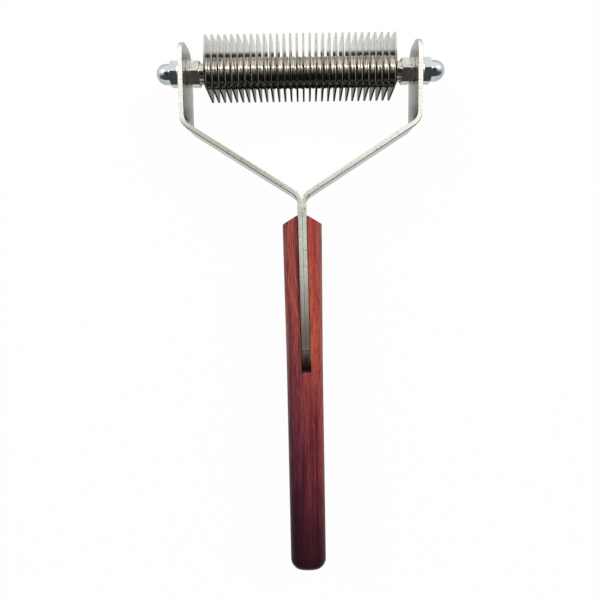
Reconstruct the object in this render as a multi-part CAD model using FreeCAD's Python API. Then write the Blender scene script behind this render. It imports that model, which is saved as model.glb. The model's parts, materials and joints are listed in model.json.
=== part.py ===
import FreeCAD, Part
import math
import os

# Deshedding rake: a row of thin steel blades on a threaded axle, held in a fork of two bent steel
# strips whose tangs sit side by side in a saw slot in a hardwood handle.
#
# Everything is drawn round the axle, with +X along the axle, +Y from the handle towards the blades
# and +Z out of the face that looks up when the tool lies down. save() then moves each piece so that
# the origin lies below the middle of the tool, on the plane of the blades' lowest edges. Units: mm.

Vector = FreeCAD.Vector
AXLE = Vector(1, 0, 0)
UP = Vector(0, 0, 1)
TINY = 0.01                     # tells a flat or an end apart when edges are picked

# Threaded axle and its M6 hardware
thread_radius = 3.0
nut_across_flats = 10.0
nut_chamfer = 0.45
running_gap = 0.05              # axial gap between the turning nuts or washers and the fork arms
hole_clearance = 0.08           # radial, axle in the fork arms
jam_nut_height = 1.7
lock_nut_height = 6.2
lock_nut_hex_height = 3.9
collar_radius = 4.3
collar_edge_round = 0.5
nylon_outer_radius = 3.6
nylon_height = 1.5
collar_lip = 0.35
collar_mouth_radius = 3.3
cap_nut_hex_height = 3.5
cap_nut_neck = 1.85             # straight round part between the hexagon and the dome
dome_radius = 4.4
dome_bore_depth = 1.8           # how far the thread goes on into the dome
plain_washer_thickness = 1.6
plain_washer_radius = 6.0
washer_hole_radius = 3.2

# Blades and the thin washers that space them
blade_count = 30
blade_thickness = 0.85
blade_hole_radius = 3.1
blade_edge_chamfer = 0.12
blade_lowest = -16.5            # Z of the far edge, which the tool lies on
spacer_thickness = 0.65
spacers_per_gap = 3
spacer_radius = 6.45
spacer_play = 0.18              # how far a loose washer sits off the axle's centre
golden_angle = 137.5            # degrees between one washer's sideways shift and the next

# Fork strips
strip_thickness = 2.0
strip_width = 23.0
arm_top = 12.0
arm_corner_radius = 8.5
arm_bend_y = -22.9              # where the outer faces of arm and diagonal would cross
tang_bend_y = -54.0             # where the outer faces of diagonal and tang would cross
arm_bend_radius = 4.6           # inside of the bend
tang_bend_radius = 3.5          # inside of the bend
tang_lean = 0.95                # degrees, the tangs' lean off the middle of the fork
tang_taper_y = -120.0           # the tang's end narrows from here
tang_end_y = -128.2
tang_end_width = 9.0

# Wooden handle
handle_lean = 0.45              # degrees, the same way as the tangs but less
handle_top_y = -61.7
handle_shoulder_y = -65.5
handle_waist_y = -125.0
handle_end_y = -223.2
handle_top_width = 16.9
handle_width = 16.0
handle_depth = 24.0
handle_edge_round = 3.0
handle_side_radius = 2000.0     # of the gentle curve into the straight part
handle_end_round = 5.6
handle_end_crown = 0.9
handle_crown_radius = 20.0
slot_width = 4.3
slot_end_y = -129.9
rivet_radius = 2.0
rivet_positions_y = (-78.0, -106.0)

# Tack weld that joins the two tangs above the handle, on the face and on the back
weld_cap_radius = 1.8
weld_height = 0.28
weld_first_y = -58.3
weld_step = 0.8
weld_caps = 4

pitch = blade_thickness + spacers_per_gap * spacer_thickness
stack_half = ((blade_count - 1) * pitch + blade_thickness) / 2
jam_nut_start = stack_half + lock_nut_height
fork_inner = jam_nut_start + jam_nut_height + running_gap
fork_outer = fork_inner + strip_thickness
plain_washer_start = fork_outer + running_gap
cap_nut_start = plain_washer_start + plain_washer_thickness
dome_base = cap_nut_start + cap_nut_hex_height + cap_nut_neck
thread_end = dome_base + dome_bore_depth


def rounded_wire(corners):
    """A closed wire in the XY plane through (x, y, radius) corners, each rounded by a tangent arc."""
    points = [Vector(corner[0], corner[1], 0) for corner in corners]
    edges = []
    ends = []
    for index, here in enumerate(points):
        radius = corners[index][2]
        if radius == 0:
            ends.append((here, here))
            continue
        to_last = (points[index - 1] - here).normalize()
        to_next = (points[(index + 1) % len(points)] - here).normalize()
        half_angle = to_last.getAngle(to_next) / 2
        reach = radius / math.tan(half_angle)
        bisector = (to_last + to_next).normalize()
        middle = here + bisector * (radius / math.sin(half_angle) - radius)
        start = here + to_last * reach
        end = here + to_next * reach
        edges.append(Part.Arc(start, middle, end).toShape())
        ends.append((start, end))
    for index, (start, end) in enumerate(ends):
        next_start = ends[(index + 1) % len(ends)][0]
        edges.append(Part.LineSegment(end, next_start).toShape())
    return Part.Wire(Part.__sortEdges__(edges))


def plate(corners, low, high):
    """A flat plate with that outline, between two heights along Z."""
    face = Part.Face(rounded_wire(corners))
    face.translate(Vector(0, 0, low))
    return face.extrude(UP * (high - low))


def side_plate(corners, low, high):
    """A plate whose outline is given as (y, z, radius), between two places along X."""
    turned = plate(corners, low, high)
    turned.Placement = FreeCAD.Placement(Vector(0, 0, 0), FreeCAD.Rotation(Vector(1, 1, 1), 120))
    return turned


def tube(inner_radius, outer_radius, start, length):
    """A ring or, with no inner radius, a rod along the axle from start."""
    body = Part.makeCylinder(outer_radius, length, AXLE * start, AXLE)
    if inner_radius > 0:
        body = body.cut(Part.makeCylinder(inner_radius, length, AXLE * start, AXLE))
    return body


def hexagon(start, length):
    """A hexagonal prism along the axle with both ends chamfered, a corner pointing to +Z."""
    corner_radius = nut_across_flats / math.sqrt(3)
    corners = []
    for index in range(6):
        angle = math.radians(60 * index)
        corners.append((corner_radius * math.sin(angle), corner_radius * math.cos(angle), 0))
    prism = side_plate(corners, start, start + length)
    flat_radius = nut_across_flats / 2
    profile = [
        Vector(start, 0, 0),
        Vector(start, flat_radius, 0),
        Vector(start + nut_chamfer, corner_radius + TINY, 0),
        Vector(start + length - nut_chamfer, corner_radius + TINY, 0),
        Vector(start + length, flat_radius, 0),
        Vector(start + length, 0, 0),
        Vector(start, 0, 0),
    ]
    turned = Part.Face(Part.makePolygon(profile)).revolve(Vector(0, 0, 0), AXLE, 360)
    return prism.common(turned)


def mirrored(shape):
    """The same piece on the other side of the tool."""
    return shape.mirror(Vector(0, 0, 0), AXLE)


def leaned(shape, degrees):
    """The same piece turned in the plane of the fork, about the bend that the tangs start from."""
    turned = shape.copy()
    turned.rotate(Vector(0, tang_bend_y, 0), UP, degrees)
    return turned


def axle_rod():
    return tube(0, thread_radius, -thread_end, 2 * thread_end)


def cap_nut():
    """A closed hexagon nut with a domed end, on the right-hand side."""
    neck = tube(0, dome_radius, dome_base - cap_nut_neck, cap_nut_neck)
    dome = Part.makeSphere(dome_radius, AXLE * dome_base, AXLE, 0, 90, 360)
    solid = hexagon(cap_nut_start, cap_nut_hex_height).fuse([neck, dome]).removeSplitter()
    return solid.cut(tube(0, thread_radius, cap_nut_start, thread_end - cap_nut_start))


def plain_washer():
    return tube(washer_hole_radius, plain_washer_radius, plain_washer_start, plain_washer_thickness)


def jam_nut():
    """A thin hexagon nut between the lock nut and the fork arm."""
    solid = hexagon(jam_nut_start, jam_nut_height)
    return solid.cut(tube(0, thread_radius, jam_nut_start, jam_nut_height))


def lock_nut():
    """A hexagon nut with a round collar for its nylon ring; the collar faces the blades."""
    hex_start = jam_nut_start - lock_nut_hex_height
    collar = tube(0, collar_radius, stack_half, lock_nut_height - lock_nut_hex_height + nut_chamfer)
    mouth_edges = [edge for edge in collar.Edges if edge.BoundBox.XMax < stack_half + TINY]
    collar = collar.makeFillet(collar_edge_round, mouth_edges)
    solid = hexagon(hex_start, lock_nut_hex_height).fuse(collar).removeSplitter()
    solid = solid.cut(tube(0, thread_radius, stack_half, lock_nut_height))
    solid = solid.cut(tube(0, collar_mouth_radius, stack_half, collar_lip))
    return solid.cut(tube(0, nylon_outer_radius, stack_half + collar_lip, nylon_height))


def nylon_ring():
    return tube(thread_radius, nylon_outer_radius, stack_half + collar_lip, nylon_height)


def spacer_washers():
    """Three loose washers in every gap between blades, each resting a little off centre."""
    washers = []
    for gap in range(blade_count - 1):
        gap_start = -stack_half + blade_thickness + gap * pitch
        for place in range(spacers_per_gap):
            turn = math.radians(golden_angle * len(washers))
            shift = Vector(0, spacer_play * math.sin(turn), spacer_play * math.cos(turn))
            start = gap_start + place * spacer_thickness
            washer = tube(washer_hole_radius, spacer_radius, start, spacer_thickness)
            washers.append(washer.translated(shift))
    return Part.makeCompound(washers)


def blade_blank():
    """A fan-shaped blade in the middle of the row: narrow at the face, wide at its working edge."""
    outline = [
        (-6.3, 5.6, 2.2),
        (2.0, 7.2, 20.0),
        (15.6, 3.0, 0.9),
        (17.4, blade_lowest, 1.2),
        (-8.7, blade_lowest, 1.2),
    ]
    half = blade_thickness / 2
    blade = side_plate(outline, -half, half)
    rim = [edge for edge in blade.Edges if edge.BoundBox.XLength < TINY]
    blade = blade.makeChamfer(blade_edge_chamfer, rim)
    return blade.cut(tube(0, blade_hole_radius, -half, blade_thickness))


def fork_arm(side):
    """One strip, on side 1 or -1: arm, bend, diagonal, bend and tang, with a hole for the axle."""
    outer_bend = Vector(fork_outer, arm_bend_y, 0)
    lower_bend = Vector(strip_thickness, tang_bend_y, 0)
    along = (lower_bend - outer_bend).normalize()
    inward = Vector(along.y, -along.x, 0)
    mitre = (Vector(-1, 0, 0) + inward) * (strip_thickness / (1 - inward.x))
    inner_bend = outer_bend + mitre
    notch = lower_bend + mitre
    drift = math.tan(math.radians(tang_lean)) * (tang_bend_y - tang_end_y)
    outline = [
        (side * fork_outer, arm_top, 0),
        (side * outer_bend.x, outer_bend.y, arm_bend_radius + strip_thickness),
        (side * lower_bend.x, lower_bend.y, tang_bend_radius),
        (side * strip_thickness + drift, tang_end_y, 0),
        (drift, tang_end_y, 0),
        (0, notch.y, tang_bend_radius + strip_thickness),
        (side * inner_bend.x, inner_bend.y, arm_bend_radius),
        (side * fork_inner, arm_top, 0),
    ]
    half = strip_width / 2
    strip = plate(outline, -half, half)
    profile = [
        (arm_top, half, arm_corner_radius),
        (tang_taper_y, half, 0),
        (tang_end_y, tang_end_width / 2, 0),
        (tang_end_y, -tang_end_width / 2, 0),
        (tang_taper_y, -half, 0),
        (arm_top, -half, arm_corner_radius),
    ]
    strip = strip.common(side_plate(profile, -fork_outer, fork_outer))
    strip = strip.cut(tube(0, thread_radius + hole_clearance, -fork_outer, 2 * fork_outer))
    return strip.cut(rivet_pins())


def tang_welds():
    """A short ripple of weld over the joint between the tangs, on the face and on the back."""
    cap_sphere = (weld_cap_radius ** 2 + weld_height ** 2) / (2 * weld_height)
    surface = strip_width / 2
    caps = []
    for index in range(weld_caps):
        y = weld_first_y - index * weld_step
        ball = Part.makeSphere(cap_sphere, Vector(0, y, surface + weld_height - cap_sphere))
        above = Part.makeBox(4 * weld_cap_radius, 4 * weld_cap_radius, weld_height)
        above.translate(Vector(-2 * weld_cap_radius, y - 2 * weld_cap_radius, surface))
        caps.append(ball.common(above))
    face_bead = leaned(caps[0].fuse(caps[1:]).removeSplitter(), tang_lean)
    back_bead = face_bead.mirror(Vector(0, 0, 0), UP)
    return Part.makeCompound([face_bead, back_bead])


def handle_slab():
    """The handle before it is slotted: rounded long edges, a gabled top and a domed end."""
    top = handle_top_width / 2
    side = handle_width / 2
    gable_slope = (handle_top_y - handle_shoulder_y) / (top - slot_width / 2)
    slab = plate([
        (0, handle_shoulder_y + gable_slope * top, 0),
        (top, handle_shoulder_y, 0),
        (side, handle_waist_y, handle_side_radius),
        (side, handle_end_y + handle_end_crown, handle_end_round),
        (0, handle_end_y, handle_crown_radius),
        (-side, handle_end_y + handle_end_crown, handle_end_round),
        (-side, handle_waist_y, handle_side_radius),
        (-top, handle_shoulder_y, 0),
    ], -handle_depth / 2, handle_depth / 2)
    long_edges = []
    for edge in slab.Edges:
        flat = edge.BoundBox.ZLength < TINY
        on_gable = edge.BoundBox.YMax > handle_shoulder_y + TINY
        if flat and not on_gable:
            long_edges.append(edge)
    return leaned(slab.makeFillet(handle_edge_round, long_edges), handle_lean)


def rivet_pins():
    """Two steel pins across the handle and both tangs, ground flush with the wood."""
    pins = []
    for y in rivet_positions_y:
        start = Vector(-handle_top_width, y, 0)
        pins.append(Part.makeCylinder(rivet_radius, 2 * handle_top_width, start, AXLE))
    return leaned(Part.makeCompound(pins), handle_lean).common(handle_slab())


def wood_handle():
    """The slab with the saw slot for the tangs and the holes for the pins."""
    size = (slot_width, -slot_end_y, handle_depth)
    slot = Part.makeBox(*size, Vector(-slot_width / 2, slot_end_y, -handle_depth / 2))
    return handle_slab().cut(leaned(slot, tang_lean)).cut(rivet_pins())


def save(name, shape, offset):
    """Write one piece, moved so that the tool's origin lies below its middle."""
    placed = shape.translated(offset)
    if not placed.isValid():
        raise ValueError(name + " is not a valid solid")
    placed.exportStep("parts/" + name + ".step")


def main():
    os.makedirs("parts", exist_ok=True)
    blade = blade_blank()
    handle = wood_handle()
    middle_y = (blade.BoundBox.YMax + handle.BoundBox.YMin) / 2
    offset = Vector(0, -middle_y, -blade_lowest)

    right_sided = {
        "cap_nut": cap_nut(),
        "plain_washer": plain_washer(),
        "jam_nut": jam_nut(),
        "lock_nut": lock_nut(),
        "nylon_ring": nylon_ring(),
    }
    for name, shape in right_sided.items():
        save("right_" + name, shape, offset)
        save("left_" + name, mirrored(shape), offset)
    save("right_fork_arm", fork_arm(1), offset)
    save("left_fork_arm", fork_arm(-1), offset)
    save("wood_handle", handle, offset)
    save("handle_rivets", rivet_pins(), offset)
    save("tang_welds", tang_welds(), offset)
    save("axle_rod", axle_rod(), offset)
    save("spacer_washers", spacer_washers(), offset)
    for index in range(blade_count):
        along_axle = AXLE * ((index - (blade_count - 1) / 2) * pitch)
        save("blade_%02d" % (index + 1), blade.translated(along_axle), offset)


main()
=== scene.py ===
import json
import math

import bpy
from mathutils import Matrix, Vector


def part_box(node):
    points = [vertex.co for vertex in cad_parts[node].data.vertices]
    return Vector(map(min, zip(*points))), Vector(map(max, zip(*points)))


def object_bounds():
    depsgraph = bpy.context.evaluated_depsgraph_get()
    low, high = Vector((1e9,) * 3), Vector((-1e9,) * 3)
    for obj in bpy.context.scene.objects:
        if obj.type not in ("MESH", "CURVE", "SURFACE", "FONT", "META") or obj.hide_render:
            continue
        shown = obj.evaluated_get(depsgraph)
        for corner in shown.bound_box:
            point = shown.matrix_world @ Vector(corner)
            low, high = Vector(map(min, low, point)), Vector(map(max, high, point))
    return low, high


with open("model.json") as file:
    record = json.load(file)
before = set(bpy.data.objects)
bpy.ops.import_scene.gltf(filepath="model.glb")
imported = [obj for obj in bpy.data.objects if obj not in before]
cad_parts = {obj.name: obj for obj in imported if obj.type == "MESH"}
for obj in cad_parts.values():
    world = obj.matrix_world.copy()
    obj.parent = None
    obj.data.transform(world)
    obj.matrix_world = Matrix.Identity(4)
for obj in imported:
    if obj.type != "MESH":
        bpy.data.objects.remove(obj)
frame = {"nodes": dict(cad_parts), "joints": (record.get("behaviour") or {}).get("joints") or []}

MM = 0.001
CAD_LOW, CAD_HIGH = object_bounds()
AXLE = Vector(frame["joints"][0]["pos_m"])
NODES = frame["nodes"]
WHITE = (1.0, 1.0, 1.0, 1.0)

HANDLE_HALF_WIDTH = 8.4 * MM
HANDLE_DRIFT = 1.33 * MM    # how far the handle's butt lies to the right of the fork's middle

# Distances from the axle towards the butt of the handle
ARM_BEND = 20 * MM          # the arms begin to turn into the diagonals
DIAGONALS = 25 * MM         # the diagonals begin
TANG_BEND = 54 * MM         # the diagonals meet in the root of the V
TANG_TAPER = 119 * MM       # the tangs begin to narrow
SLOT_END = 131 * MM         # the slot in the handle ends


# ---------------------------------------------------------------- material helpers

class Surface:
    """A node material with short calls for the nodes that every surface here needs."""

    def __init__(self, name, metallic, roughness):
        self.material = bpy.data.materials.new(name)
        self.material.use_nodes = True
        self.tree = self.material.node_tree
        self.shader = self.tree.nodes["Principled BSDF"]
        self.shader.inputs["Metallic"].default_value = metallic
        self.shader.inputs["Roughness"].default_value = roughness
        self.coordinates = self.tree.nodes.new("ShaderNodeTexCoord")

    def set(self, socket, value):
        """One value all over the surface."""
        self.shader.inputs[socket].default_value = value

    def link(self, source, socket):
        """Drives a socket of the shader."""
        self.tree.links.new(source, self.shader.inputs[socket])

    def fill(self, socket, value):
        """Links a socket, or sets its value."""
        if isinstance(value, bpy.types.NodeSocket):
            self.tree.links.new(value, socket)
        else:
            socket.default_value = value

    def noise(self, per_metre, detail=3.0, roughness=0.55, distortion=0.0, seed=(0.0, 0.0, 0.0), turn=0.0):
        """Noise whose grain has that many features per metre along X, Y and Z, turned in the XY plane."""
        mapping = self.tree.nodes.new("ShaderNodeMapping")
        mapping.vector_type = "TEXTURE" if turn else "POINT"
        mapping.inputs["Scale"].default_value = per_metre
        mapping.inputs["Location"].default_value = seed
        if turn:
            mapping.inputs["Scale"].default_value = [1 / value for value in per_metre]
            mapping.inputs["Rotation"].default_value = (0.0, 0.0, turn)
        self.tree.links.new(self.coordinates.outputs["Object"], mapping.inputs["Vector"])
        node = self.tree.nodes.new("ShaderNodeTexNoise")
        node.inputs["Scale"].default_value = 1.0
        node.inputs["Detail"].default_value = detail
        node.inputs["Roughness"].default_value = roughness
        node.inputs["Distortion"].default_value = distortion
        self.tree.links.new(mapping.outputs["Vector"], node.inputs["Vector"])
        return node.outputs["Fac"]

    def axis(self, letter, source="Object"):
        """One coordinate of the surface point, or of its normal."""
        split = self.tree.nodes.new("ShaderNodeSeparateXYZ")
        self.tree.links.new(self.coordinates.outputs[source], split.inputs["Vector"])
        return split.outputs[letter]

    def remap(self, value, low, high, to_low=0.0, to_high=1.0, smooth=False):
        """Maps low to to_low and high to to_high, and holds the value beyond them."""
        node = self.tree.nodes.new("ShaderNodeMapRange")
        node.interpolation_type = "SMOOTHSTEP" if smooth else "LINEAR"
        self.tree.links.new(value, node.inputs["Value"])
        node.inputs["From Min"].default_value = low
        node.inputs["From Max"].default_value = high
        node.inputs["To Min"].default_value = to_low
        node.inputs["To Max"].default_value = to_high
        return node.outputs["Result"]

    def math(self, operation, first, second=0.0):
        """A math node on sockets or numbers."""
        node = self.tree.nodes.new("ShaderNodeMath")
        node.operation = operation
        self.fill(node.inputs[0], first)
        self.fill(node.inputs[1], second)
        return node.outputs["Value"]

    def mix(self, factor, first, second, blend="MIX"):
        """Mixes two colours."""
        node = self.tree.nodes.new("ShaderNodeMix")
        node.data_type = "RGBA"
        node.blend_type = blend
        self.fill(node.inputs["Factor"], factor)
        colours = [socket for socket in node.inputs if socket.type == "RGBA"]
        self.fill(colours[0], first)
        self.fill(colours[1], second)
        return [socket for socket in node.outputs if socket.type == "RGBA"][0]

    def ramp(self, value, stops):
        """A colour ramp from (place, colour) stops."""
        node = self.tree.nodes.new("ShaderNodeValToRGB")
        elements = node.color_ramp.elements
        while len(elements) < len(stops):
            elements.new(0.5)
        for element, (place, colour) in zip(elements, stops):
            element.position = place
            element.color = colour
        self.tree.links.new(value, node.inputs["Fac"])
        return node.outputs["Color"]

    def bump(self, height, distance, strength):
        """Relief of that depth from a height between 0 and 1."""
        node = self.tree.nodes.new("ShaderNodeBump")
        node.inputs["Distance"].default_value = distance
        node.inputs["Strength"].default_value = strength
        self.tree.links.new(height, node.inputs["Height"])
        self.link(node.outputs["Normal"], "Normal")


def rgb(red, green, blue):
    """A colour from its 0 to 255 screen values."""
    def linear(value):
        share = value / 255
        return share / 12.92 if share <= 0.04045 else ((share + 0.055) / 1.055) ** 2.4
    return (linear(red), linear(green), linear(blue), 1.0)


# ---------------------------------------------------------------- materials

def hardwood():
    """Oiled reddish hardwood: orange-red near the fork, purple-brown at the butt, darker there partly by
    painted light fall-off, with open pores and painted shade in the slot.
    """
    low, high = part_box("wood_handle")
    wood = Surface("hardwood", 0.0, 0.4)
    lengthwise = wood.axis("Y")

    # Place on the handle: along from the butt to the gable, across from the left edge to the right
    along = wood.remap(lengthwise, low[1], high[1])
    drift = wood.noise((40, 14, 40), detail=2.0)
    along = wood.math("ADD", along, wood.remap(drift, 0.3, 0.7, -0.05, 0.05))
    lean = wood.remap(lengthwise, low[1], high[1], HANDLE_DRIFT, 0.0)
    across = wood.math("SUBTRACT", wood.axis("X"), lean)
    waver = wood.noise((60, 22, 60), detail=3.0, seed=(3.0, 1.0, 4.0))
    across = wood.math("ADD", across, wood.remap(waver, 0.3, 0.7, -0.7 * MM, 0.7 * MM))

    # Broad colour: one palette across the handle for each third, and a butt darkened partly by the wood's
    # own tone and partly by painted light fall-off
    place = wood.remap(across, -HANDLE_HALF_WIDTH, HANDLE_HALF_WIDTH)
    upper = wood.ramp(place, [
        (0.00, rgb(156, 110, 104)),
        (0.05, rgb(143, 70, 64)),
        (0.17, rgb(186, 87, 76)),
        (0.34, rgb(152, 69, 65)),
        (0.70, rgb(202, 90, 72)),
        (0.78, rgb(168, 64, 60)),
        (0.86, rgb(184, 72, 74)),
        (0.95, rgb(164, 84, 77)),
        (1.00, rgb(160, 106, 96)),
    ])
    middle = wood.ramp(place, [
        (0.00, rgb(150, 118, 110)),
        (0.10, rgb(128, 60, 60)),
        (0.27, rgb(168, 76, 75)),
        (0.40, rgb(158, 68, 67)),
        (0.52, rgb(182, 78, 72)),
        (0.74, rgb(208, 97, 72)),
        (0.88, rgb(186, 78, 60)),
        (1.00, rgb(184, 118, 104)),
    ])
    lower = wood.ramp(place, [
        (0.00, rgb(110, 78, 76)),
        (0.10, rgb(97, 42, 57)),
        (0.35, rgb(122, 50, 64)),
        (0.62, rgb(152, 66, 68)),
        (0.78, rgb(131, 53, 59)),
        (0.88, rgb(152, 66, 66)),
        (1.00, rgb(146, 90, 80)),
    ])
    base = wood.mix(wood.remap(along, 0.40, 0.68), lower, middle)
    base = wood.mix(wood.remap(along, 0.68, 0.90), base, upper)
    # Painted light fall-off on top of the wood's own darker tone: the handle darkens towards the butt
    butt_tone_and_painted_falloff = wood.ramp(along, [
        (0.03, (0.12, 0.10, 0.17, 1.0)),
        (0.14, (0.28, 0.26, 0.37, 1.0)),
        (0.27, (0.64, 0.61, 0.80, 1.0)),
        (0.40, WHITE),
    ])
    base = wood.mix(1.0, base, butt_tone_and_painted_falloff, "MULTIPLY")

    # Figure: warm and purple bands along the grain, and paler wisps that cross it
    bands = wood.noise((520, 10, 300), detail=4.0, distortion=0.4)
    warm = wood.mix(1.0, base, rgb(255, 210, 170), "MULTIPLY")
    purple = wood.mix(1.0, base, rgb(168, 100, 150), "MULTIPLY")
    base = wood.mix(wood.remap(bands, 0.52, 0.66, 0.0, 0.5), base, warm)
    base = wood.mix(wood.remap(bands, 0.47, 0.34, 0.0, 0.85), base, purple)
    wisps = wood.noise((640, 30, 400), detail=3.0, seed=(8.0, 2.0, 6.0), turn=math.radians(12))
    wisp_reach = wood.math("MULTIPLY", wood.remap(wisps, 0.56, 0.68), wood.remap(along, 0.5, 0.8))
    base = wood.mix(wood.math("MULTIPLY", wisp_reach, 0.6), base, rgb(214, 112, 82))

    # Fine grain, open pores and a row of dark flecks near the left edge
    grain = wood.noise((2600, 90, 2000), detail=5.0, roughness=0.65)
    dark_grain = wood.mix(1.0, base, rgb(130, 88, 100), "MULTIPLY")
    light_grain = wood.mix(0.3, base, rgb(226, 140, 116))
    light_lines = wood.remap(grain, 0.47, 0.36, 0.0, 0.55)
    light_lines = wood.math("MULTIPLY", light_lines, wood.remap(along, 0.1, 0.6))
    base = wood.mix(light_lines, base, light_grain)
    base = wood.mix(wood.remap(grain, 0.48, 0.66, 0.0, 0.8), base, dark_grain)
    pores = wood.noise((5200, 330, 4000), detail=2.0, roughness=0.4, seed=(5.1, 2.3, 7.7))
    pore_mask = wood.remap(pores, 0.60, 0.68)
    base = wood.mix(wood.math("MULTIPLY", pore_mask, 0.75), base, rgb(52, 18, 28))
    flecks = wood.noise((3600, 1300, 3600), detail=2.0, seed=(1.5, 6.2, 3.3))
    from_fleck_row = wood.math("ABSOLUTE", wood.math("ADD", across, 6.3 * MM))
    fleck_place = wood.remap(from_fleck_row, 1.1 * MM, 0.2 * MM)
    fleck_mask = wood.math("MULTIPLY", wood.remap(flecks, 0.5, 0.58), fleck_place)
    base = wood.mix(wood.math("MULTIPLY", fleck_mask, 0.85), base, rgb(52, 16, 32))

    # Painted shade: the walls of the slot are coloured near-black, and their finish is duller
    upright = wood.remap(wood.axis("Z", "Normal"), 0.7, 0.5)
    near_middle = wood.remap(wood.math("ABSOLUTE", across), 4.4 * MM, 4.0 * MM)
    slot_end = AXLE.y - SLOT_END
    above_slot_end = wood.remap(lengthwise, slot_end - 1 * MM, slot_end)
    in_slot = wood.math("MULTIPLY", upright, wood.math("MULTIPLY", near_middle, above_slot_end))
    base = wood.mix(wood.math("MULTIPLY", in_slot, 0.85), base, rgb(30, 16, 16))
    wood.link(base, "Base Color")
    rough = wood.remap(grain, 0.3, 0.7, 0.36, 0.52)
    wood.link(wood.math("ADD", rough, wood.math("MULTIPLY", in_slot, 0.5)), "Roughness")
    wood.set("Specular IOR Level", 0.35)
    wood.set("Coat Weight", 0.06)
    wood.set("Coat Roughness", 0.35)
    relief = wood.math("SUBTRACT", wood.math("MULTIPLY", grain, 0.35), pore_mask)
    wood.bump(relief, 0.04 * MM, 0.5)
    return wood.material


def strip_steel():
    """Brushed strip: lines run along the strip on its faces, the cut edges are paler and rougher, dull
    on the diagonals, with dark scale spots there and the left diagonal painted darker (painted shade),
    darker and browner towards the end of the tangs (partly stain, partly painted shade), rusty at their
    tapered ends, and with a painted dark line of shade along the corners that face the handle."""
    steel = Surface("strip_steel", 1.0, 0.3)
    lengthwise = steel.axis("Y")
    lines = steel.noise((30, 30, 5200), detail=4.0, roughness=0.7)
    mottle = steel.noise((260, 260, 500), detail=4.0)
    face = steel.mix(steel.remap(lines, 0.3, 0.7), rgb(196, 196, 190), rgb(226, 226, 220))
    face = steel.mix(steel.remap(mottle, 0.5, 0.75, 0.0, 0.35), face, rgb(170, 168, 160))

    cut = steel.noise((2600, 2600, 2600), detail=5.0, roughness=0.7)
    cut_colour = steel.ramp(cut, [
        (0.30, rgb(200, 198, 184)),
        (0.46, rgb(244, 243, 230)),
        (0.70, rgb(255, 254, 246)),
    ])
    teeth = steel.noise((220, 1500, 220), detail=3.0, seed=(2.0, 5.0, 1.0))
    cut_colour = steel.mix(steel.remap(teeth, 0.52, 0.68, 0.0, 0.4), cut_colour, rgb(176, 172, 162))
    # Darker and browner towards the end of the tangs: partly stain, partly painted shade where they sink
    # into the slot
    tang_darkening_start = AXLE.y - 84 * MM
    tang_darkening_end = AXLE.y - 118 * MM
    stain = steel.remap(lengthwise, tang_darkening_start, tang_darkening_end, 0.0, 0.85, smooth=True)
    cut_colour = steel.mix(stain, cut_colour, rgb(122, 98, 86))
    taper = AXLE.y - TANG_TAPER
    rusty_end = steel.remap(lengthwise, taper, taper - 2 * MM)
    cut_colour = steel.mix(rusty_end, cut_colour, rgb(190, 168, 146))
    steel.link(steel.math("SUBTRACT", 1.0, steel.math("MULTIPLY", rusty_end, 0.8)), "Metallic")

    past_arms = steel.remap(lengthwise, AXLE.y - ARM_BEND, AXLE.y - DIAGONALS, smooth=True)
    root = AXLE.y - TANG_BEND
    before_tangs = steel.remap(lengthwise, root, root + 4 * MM)
    scale = steel.noise((500, 900, 500), detail=4.0, seed=(7.0, 3.0, 2.0))
    # Painted shade: the left diagonal's cut edge is darker than the right one's; the dark scale spots are
    # the steel's own
    to_the_right = steel.remap(steel.axis("X"), -20 * MM, 10 * MM)
    scale_and_side_shade = steel.mix(to_the_right, rgb(204, 203, 188), rgb(246, 245, 236))
    scale_and_side_shade = steel.mix(steel.remap(scale, 0.6, 0.7, 0.0, 0.8), scale_and_side_shade, rgb(104, 98, 84))
    cut_colour = steel.mix(steel.math("MULTIPLY", past_arms, before_tangs), cut_colour, scale_and_side_shade)

    # Painted shade: a dark line along the corners that face the handle
    facing_up = steel.math("ABSOLUTE", steel.axis("Z", "Normal"))
    edge = steel.remap(facing_up, 0.6, 0.8)
    colour = steel.mix(edge, face, cut_colour)
    arris_painted_shade = steel.math("MULTIPLY", steel.remap(facing_up, 0.08, 0.2), steel.remap(facing_up, 0.995, 0.96))
    arris_painted_shade = steel.math("MULTIPLY", arris_painted_shade, steel.remap(steel.axis("Y", "Normal"), -0.1, -0.25))
    arris_painted_shade = steel.math("MULTIPLY", arris_painted_shade, steel.math("SUBTRACT", 1.0, rusty_end))
    colour = steel.mix(steel.math("MULTIPLY", arris_painted_shade, 0.95), colour, rgb(40, 38, 36))
    steel.link(colour, "Base Color")
    rough = steel.remap(lines, 0.3, 0.7, 0.24, 0.4)
    rough = steel.math("ADD", rough, steel.math("MULTIPLY", edge, 0.2))
    steel.link(rough, "Roughness")
    relief = steel.math("ADD", lines, steel.math("MULTIPLY", edge, cut))
    steel.bump(relief, 0.012 * MM, 0.5)
    return steel.material


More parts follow.
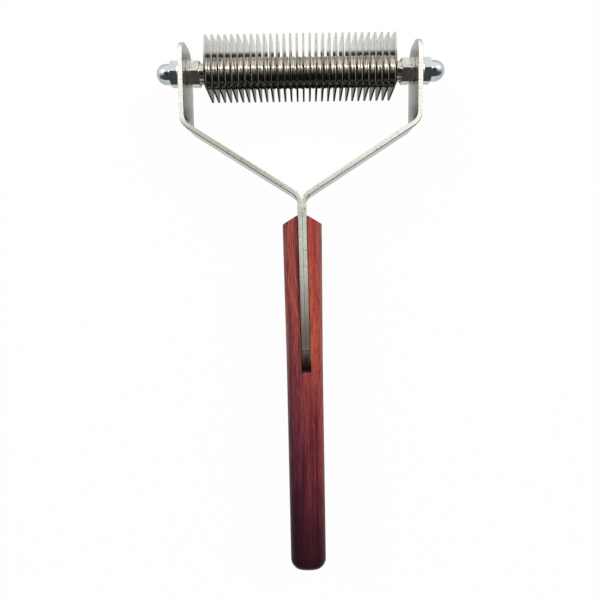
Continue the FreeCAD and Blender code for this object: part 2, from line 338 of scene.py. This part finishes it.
def blade_steel():
    """Polished stainless blades with faint grinding lines and sheared rims, the rims painted darker from
    just beyond the washers towards the handle (painted shade).
    """
    steel = Surface("blade_steel", 1.0, 0.1)
    lines = steel.noise((40, 4200, 260), detail=4.0, roughness=0.7)
    stain = steel.noise((180, 180, 180), detail=3.0)
    face = steel.mix(steel.remap(lines, 0.3, 0.7), rgb(196, 197, 186), rgb(216, 217, 206))
    face = steel.mix(steel.remap(stain, 0.5, 0.8, 0.0, 0.3), face, rgb(172, 172, 156))
    rim = steel.remap(steel.math("ABSOLUTE", steel.axis("X", "Normal")), 0.8, 0.6)
    shear = steel.noise((900, 900, 900), detail=4.0)
    rim_colour = steel.mix(steel.remap(shear, 0.3, 0.7), rgb(182, 180, 172), rgb(216, 214, 206))
    # Painted shade: the rims darken from just beyond the washers towards the handle
    rim_shade_limit = AXLE.y + 9 * MM
    rim_painted_shade = steel.remap(steel.axis("Y"), rim_shade_limit, rim_shade_limit - 4 * MM, 0.0, 0.75, smooth=True)
    rim_colour = steel.mix(rim_painted_shade, rim_colour, rgb(92, 87, 82))
    steel.link(steel.mix(rim, face, rim_colour), "Base Color")
    rough = steel.remap(lines, 0.3, 0.7, 0.05, 0.12)
    steel.link(steel.math("ADD", rough, steel.math("MULTIPLY", rim, 0.05)), "Roughness")
    steel.bump(lines, 0.004 * MM, 0.3)
    return steel.material


def spacer_steel():
    """Bright stamped washers, a little warm, with fine turning marks, dark specks, and the sides facing
    the handle painted dark (painted shade).
    """
    steel = Surface("spacer_steel", 1.0, 0.1)
    marks = steel.noise((3600, 260, 260), detail=4.0)
    specks = steel.noise((900, 900, 900), detail=3.0)
    colour = steel.mix(steel.remap(marks, 0.3, 0.7), rgb(196, 188, 174), rgb(228, 220, 206))
    grooves = steel.noise((1700, 40, 40), detail=2.0, seed=(3.0, 0.0, 0.0))
    colour = steel.mix(steel.remap(grooves, 0.50, 0.42, 0.0, 0.75), colour, rgb(84, 76, 70))
    colour = steel.mix(steel.remap(specks, 0.6, 0.75, 0.0, 0.4), colour, rgb(148, 128, 118))
    # Painted shade: the sides of the washers that face the handle are darkened
    handle_side_painted_shade = steel.remap(steel.axis("Y", "Normal"), -0.1, -0.5, 0.0, 0.9, smooth=True)
    colour = steel.mix(handle_side_painted_shade, colour, rgb(48, 43, 42))
    steel.link(colour, "Base Color")
    steel.link(steel.remap(marks, 0.3, 0.7, 0.05, 0.15), "Roughness")
    steel.bump(marks, 0.004 * MM, 0.4)
    return steel.material


def zinc_plate():
    """Bright zinc with a bluish cast and faint clouding."""
    zinc = Surface("zinc_plate", 1.0, 0.16)
    cloud = zinc.noise((320, 320, 320), detail=4.0)
    fine = zinc.noise((2400, 2400, 2400), detail=3.0)
    colour = zinc.mix(zinc.remap(cloud, 0.3, 0.7), rgb(186, 196, 200), rgb(214, 222, 224))
    zinc.link(colour, "Base Color")
    zinc.link(zinc.remap(fine, 0.3, 0.7, 0.1, 0.22), "Roughness")
    zinc.bump(fine, 0.006 * MM, 0.4)
    return zinc.material


def nut_steel():
    """Plain bright-drawn jam and lock nuts, with a warmer cast than the plated ones."""
    steel = Surface("nut_steel", 1.0, 0.15)
    cloud = steel.noise((420, 420, 420), detail=4.0)
    fine = steel.noise((2200, 2200, 2200), detail=4.0)
    colour = steel.mix(steel.remap(cloud, 0.35, 0.65), rgb(190, 187, 178), rgb(222, 219, 210))
    steel.link(colour, "Base Color")
    steel.link(steel.remap(fine, 0.3, 0.7, 0.08, 0.2), "Roughness")
    steel.bump(fine, 0.004 * MM, 0.35)
    return steel.material


def weld_steel():
    """Tack weld, rubbed down: pale grey with brownish heat marks."""
    steel = Surface("weld_steel", 0.35, 0.6)
    blotch = steel.noise((900, 1100, 900), detail=5.0)
    colour = steel.ramp(blotch, [
        (0.30, rgb(150, 140, 128)),
        (0.42, rgb(206, 204, 190)),
        (0.70, rgb(226, 226, 212)),
    ])
    steel.link(colour, "Base Color")
    steel.link(steel.remap(blotch, 0.3, 0.7, 0.5, 0.75), "Roughness")
    steel.bump(blotch, 0.03 * MM, 0.4)
    return steel.material


def rivet_steel():
    """Pin ends ground flush with the wood."""
    steel = Surface("rivet_steel", 1.0, 0.35)
    scratches = steel.noise((3000, 240, 3000), detail=4.0)
    colour = steel.mix(steel.remap(scratches, 0.3, 0.7), rgb(168, 166, 160), rgb(212, 210, 204))
    steel.link(colour, "Base Color")
    steel.link(steel.remap(scratches, 0.3, 0.7, 0.25, 0.45), "Roughness")
    steel.bump(scratches, 0.01 * MM, 0.5)
    return steel.material


def rod_steel():
    """The axle, oily and with uneven dark rings."""
    steel = Surface("rod_steel", 1.0, 0.3)
    turn = steel.noise((1000, 90, 90), detail=3.0)
    colour = steel.mix(steel.remap(turn, 0.35, 0.65), rgb(96, 94, 90), rgb(190, 188, 182))
    steel.link(colour, "Base Color")
    steel.link(steel.remap(turn, 0.35, 0.65, 0.4, 0.22), "Roughness")
    steel.bump(turn, 0.05 * MM, 0.8)
    return steel.material


def nylon():
    """The lock nuts' nylon rings."""
    plastic = Surface("nylon", 0.0, 0.45)
    cloud = plastic.noise((800, 800, 800), detail=3.0)
    colour = plastic.mix(plastic.remap(cloud, 0.3, 0.7), rgb(206, 212, 220), rgb(226, 230, 236))
    plastic.link(colour, "Base Color")
    plastic.set("Subsurface Weight", 0.1)
    plastic.set("Subsurface Radius", (1 * MM, 1 * MM, 1 * MM))
    plastic.bump(cloud, 0.01 * MM, 0.4)
    return plastic.material


# ---------------------------------------------------------------- CAD nodes

def dress(node, material, edge=0.0):
    """Gives a CAD node its material and, if asked, fine rounded edges."""
    piece = NODES[node]
    piece.data.materials.clear()
    piece.data.materials.append(material)
    if edge > 0:
        join = piece.modifiers.new("joined_faces", "WELD")
        join.merge_threshold = 0.001 * MM
        bevel = piece.modifiers.new("fine_edges", "BEVEL")
        bevel.width = edge
        bevel.segments = 2
        bevel.limit_method = "ANGLE"
        bevel.angle_limit = math.radians(35)
        bevel.harden_normals = True


def dress_all():
    """Every CAD node gets its material."""
    wood = hardwood()
    strip = strip_steel()
    blade = blade_steel()
    zinc = zinc_plate()
    nut = nut_steel()
    ring = nylon()
    dress("wood_handle", wood)
    dress("handle_rivets", rivet_steel())
    dress("tang_welds", weld_steel())
    dress("axle_rod", rod_steel())
    dress("spacer_washers", spacer_steel(), 0.09 * MM)
    for side in ("left", "right"):
        dress(side + "_fork_arm", strip, 0.35 * MM)
        dress(side + "_jam_nut", nut, 0.1 * MM)
        dress(side + "_cap_nut", zinc)
        dress(side + "_plain_washer", zinc, 0.12 * MM)
        dress(side + "_lock_nut", nut, 0.14 * MM)
        dress(side + "_nylon_ring", ring)
    for node in NODES:
        if node.startswith("blade_"):
            dress(node, blade)


# ---------------------------------------------------------------- stage

def make_floor():
    """A large pale floor. To the eye it glows almost evenly white, which thins its shadows, as on a
    luminous studio ground;
    the metal sees it with a painted glow and a painted shadow of the tool: bright outside the fork, dim
    under the blades and dark between the arms."""
    half_size = 3.0
    mesh = bpy.data.meshes.new("floor")
    corners = [(x * half_size, y * half_size, 0) for x, y in ((-1, -1), (1, -1), (1, 1), (-1, 1))]
    mesh.from_pydata(corners, [], [(0, 1, 2, 3)])
    floor = bpy.data.objects.new("floor", mesh)
    clearance = 0.05 * MM
    floor.location.z = CAD_LOW[2] - clearance
    bpy.context.scene.collection.objects.link(floor)
    paper = Surface("floor_paper", 0.0, 0.9)
    grain = paper.noise((60, 60, 60), detail=2.0)
    paper.link(paper.mix(grain, rgb(244, 244, 244), rgb(250, 250, 250)), "Base Color")
    paper.set("Specular IOR Level", 0.0)

    # How far the place lies inside the outline of the fork, from the root of the V to the blades' front
    fork_half_width = 49 * MM
    diagonal_slope = 1.52
    blades_front = 15 * MM
    front_sharpness = 4.0
    softness = 8 * MM
    sideways = paper.math("ABSOLUTE", paper.axis("X"))
    forward = paper.math("SUBTRACT", paper.axis("Y"), AXLE.y)
    diagonals = paper.math("MULTIPLY", paper.math("ADD", forward, TANG_BEND), diagonal_slope)
    reach = paper.math("MINIMUM", diagonals, fork_half_width)
    within = paper.math("SUBTRACT", reach, sideways)
    behind_front = paper.math("SUBTRACT", blades_front, forward)
    within = paper.math("MINIMUM", within, paper.math("MULTIPLY", behind_front, front_sharpness))
    inside = paper.remap(within, 0.0, softness, smooth=True)

    # How bright the metal sees the floor: a painted glow outside the fork, a painted shadow of the tool
    # inside it
    bright, dim, dark, darkest = 0.75, 0.24, 0.05, 0.02
    inner = paper.math(
        "MINIMUM",
        paper.remap(forward, -12 * MM, -9 * MM, darkest, dim, smooth=True),
        paper.remap(forward, -1 * MM, 3 * MM, dim, dark, smooth=True),
    )
    outer = paper.math("MULTIPLY", paper.math("SUBTRACT", 1.0, inside), bright)
    glow_and_painted_shadow_for_metal = paper.math("ADD", outer, paper.math("MULTIPLY", inside, inner))

    rays = paper.tree.nodes.new("ShaderNodeLightPath")
    seen_by_eye = paper.math("MULTIPLY", rays.outputs["Is Camera Ray"], 0.98)
    shading = paper.shader.outputs["BSDF"]
    for strength, share in ((glow_and_painted_shadow_for_metal, rays.outputs["Is Glossy Ray"]), (1.0, seen_by_eye)):
        glow = paper.tree.nodes.new("ShaderNodeEmission")
        paper.fill(glow.inputs["Strength"], strength)
        blend = paper.tree.nodes.new("ShaderNodeMixShader")
        paper.fill(blend.inputs["Fac"], share)
        paper.tree.links.new(shading, blend.inputs[1])
        paper.tree.links.new(glow.outputs["Emission"], blend.inputs[2])
        shading = blend.outputs["Shader"]
    output = paper.tree.nodes["Material Output"]
    paper.tree.links.new(shading, output.inputs["Surface"])
    mesh.materials.append(paper.material)


def make_world():
    """Studio surroundings: a bright wall beyond the blades, grey sides, dark overhead and behind, and
    a low pale strip behind the handle. The eye sees them plain white."""
    world = bpy.data.worlds.new("studio")
    bpy.context.scene.world = world
    world.use_nodes = True
    tree = world.node_tree
    direction = tree.nodes.new("ShaderNodeTexCoord")
    split = tree.nodes.new("ShaderNodeSeparateXYZ")
    tree.links.new(direction.outputs["Generated"], split.inputs["Vector"])

    def fade(letter, start, end, first, last):
        """Passes smoothly from the first strength to the last along one axis of the direction."""
        node = tree.nodes.new("ShaderNodeMapRange")
        node.interpolation_type = "SMOOTHSTEP"
        tree.links.new(split.outputs[letter], node.inputs["Value"])
        node.inputs["From Min"].default_value = start
        node.inputs["From Max"].default_value = end
        node.inputs["To Min"].default_value = first
        node.inputs["To Max"].default_value = last
        return node.outputs["Result"]

    def combine(operation, first, second):
        node = tree.nodes.new("ShaderNodeMath")
        node.operation = operation
        tree.links.new(first, node.inputs[0])
        tree.links.new(second, node.inputs[1])
        return node.outputs["Value"]

    wall = combine("MULTIPLY", fade("Y", -0.45, 0.4, 0.07, 1.1), fade("Z", 0.96, 0.88, 0.05, 1.0))
    strip = combine("MULTIPLY", fade("Y", -0.5, -0.8, 0.0, 0.9), fade("Z", 0.24, 0.16, 0.0, 1.0))
    rays = tree.nodes.new("ShaderNodeLightPath")
    lit = combine("MAXIMUM", combine("ADD", wall, strip), rays.outputs["Is Camera Ray"])
    background = tree.nodes["Background"]
    tree.links.new(lit, background.inputs["Strength"])
    background.inputs["Color"].default_value = WHITE


def make_light(name, azimuth, elevation, distance, width, radiance):
    """A square soft box in that direction from the axle, turned to face it."""
    light = bpy.data.lights.new(name, "AREA")
    light.shape = "SQUARE"
    light.size = width
    light.energy = radiance * math.pi * width * width
    level = math.cos(math.radians(elevation))
    towards = Vector((
        level * math.sin(math.radians(azimuth)),
        level * math.cos(math.radians(azimuth)),
        math.sin(math.radians(elevation)),
    ))
    lamp = bpy.data.objects.new(name, light)
    lamp.location = AXLE + distance * towards
    lamp.rotation_euler = (-towards).to_track_quat("-Z", "Y").to_euler()
    bpy.context.scene.collection.objects.link(lamp)


def make_camera():
    """Above the tool, nearer to the head, tilted a few degrees towards the handle."""
    data = bpy.data.cameras.new("camera")
    data.sensor_width = 36.0
    data.lens = 33.6
    data.clip_start = 0.01
    camera = bpy.data.objects.new("camera", data)
    camera.location = AXLE + Vector((0.9, -72.0, 252.3)) * MM
    camera.rotation_mode = "ZXY"
    camera.rotation_euler = [math.radians(degrees) for degrees in (-6.15, 0.5, -0.68)]
    bpy.context.scene.collection.objects.link(camera)
    bpy.context.scene.camera = camera


def make_stage():
    """Floor, surroundings and two soft boxes ahead of the tool."""
    make_floor()
    make_world()
    make_light("left_box", azimuth=-55, elevation=45, distance=1.2, width=0.5, radiance=4.5)
    make_light("right_box", azimuth=55, elevation=45, distance=1.2, width=0.5, radiance=5.5)
    bpy.context.scene.view_settings.view_transform = "Standard"


dress_all()
make_camera()
make_stage()
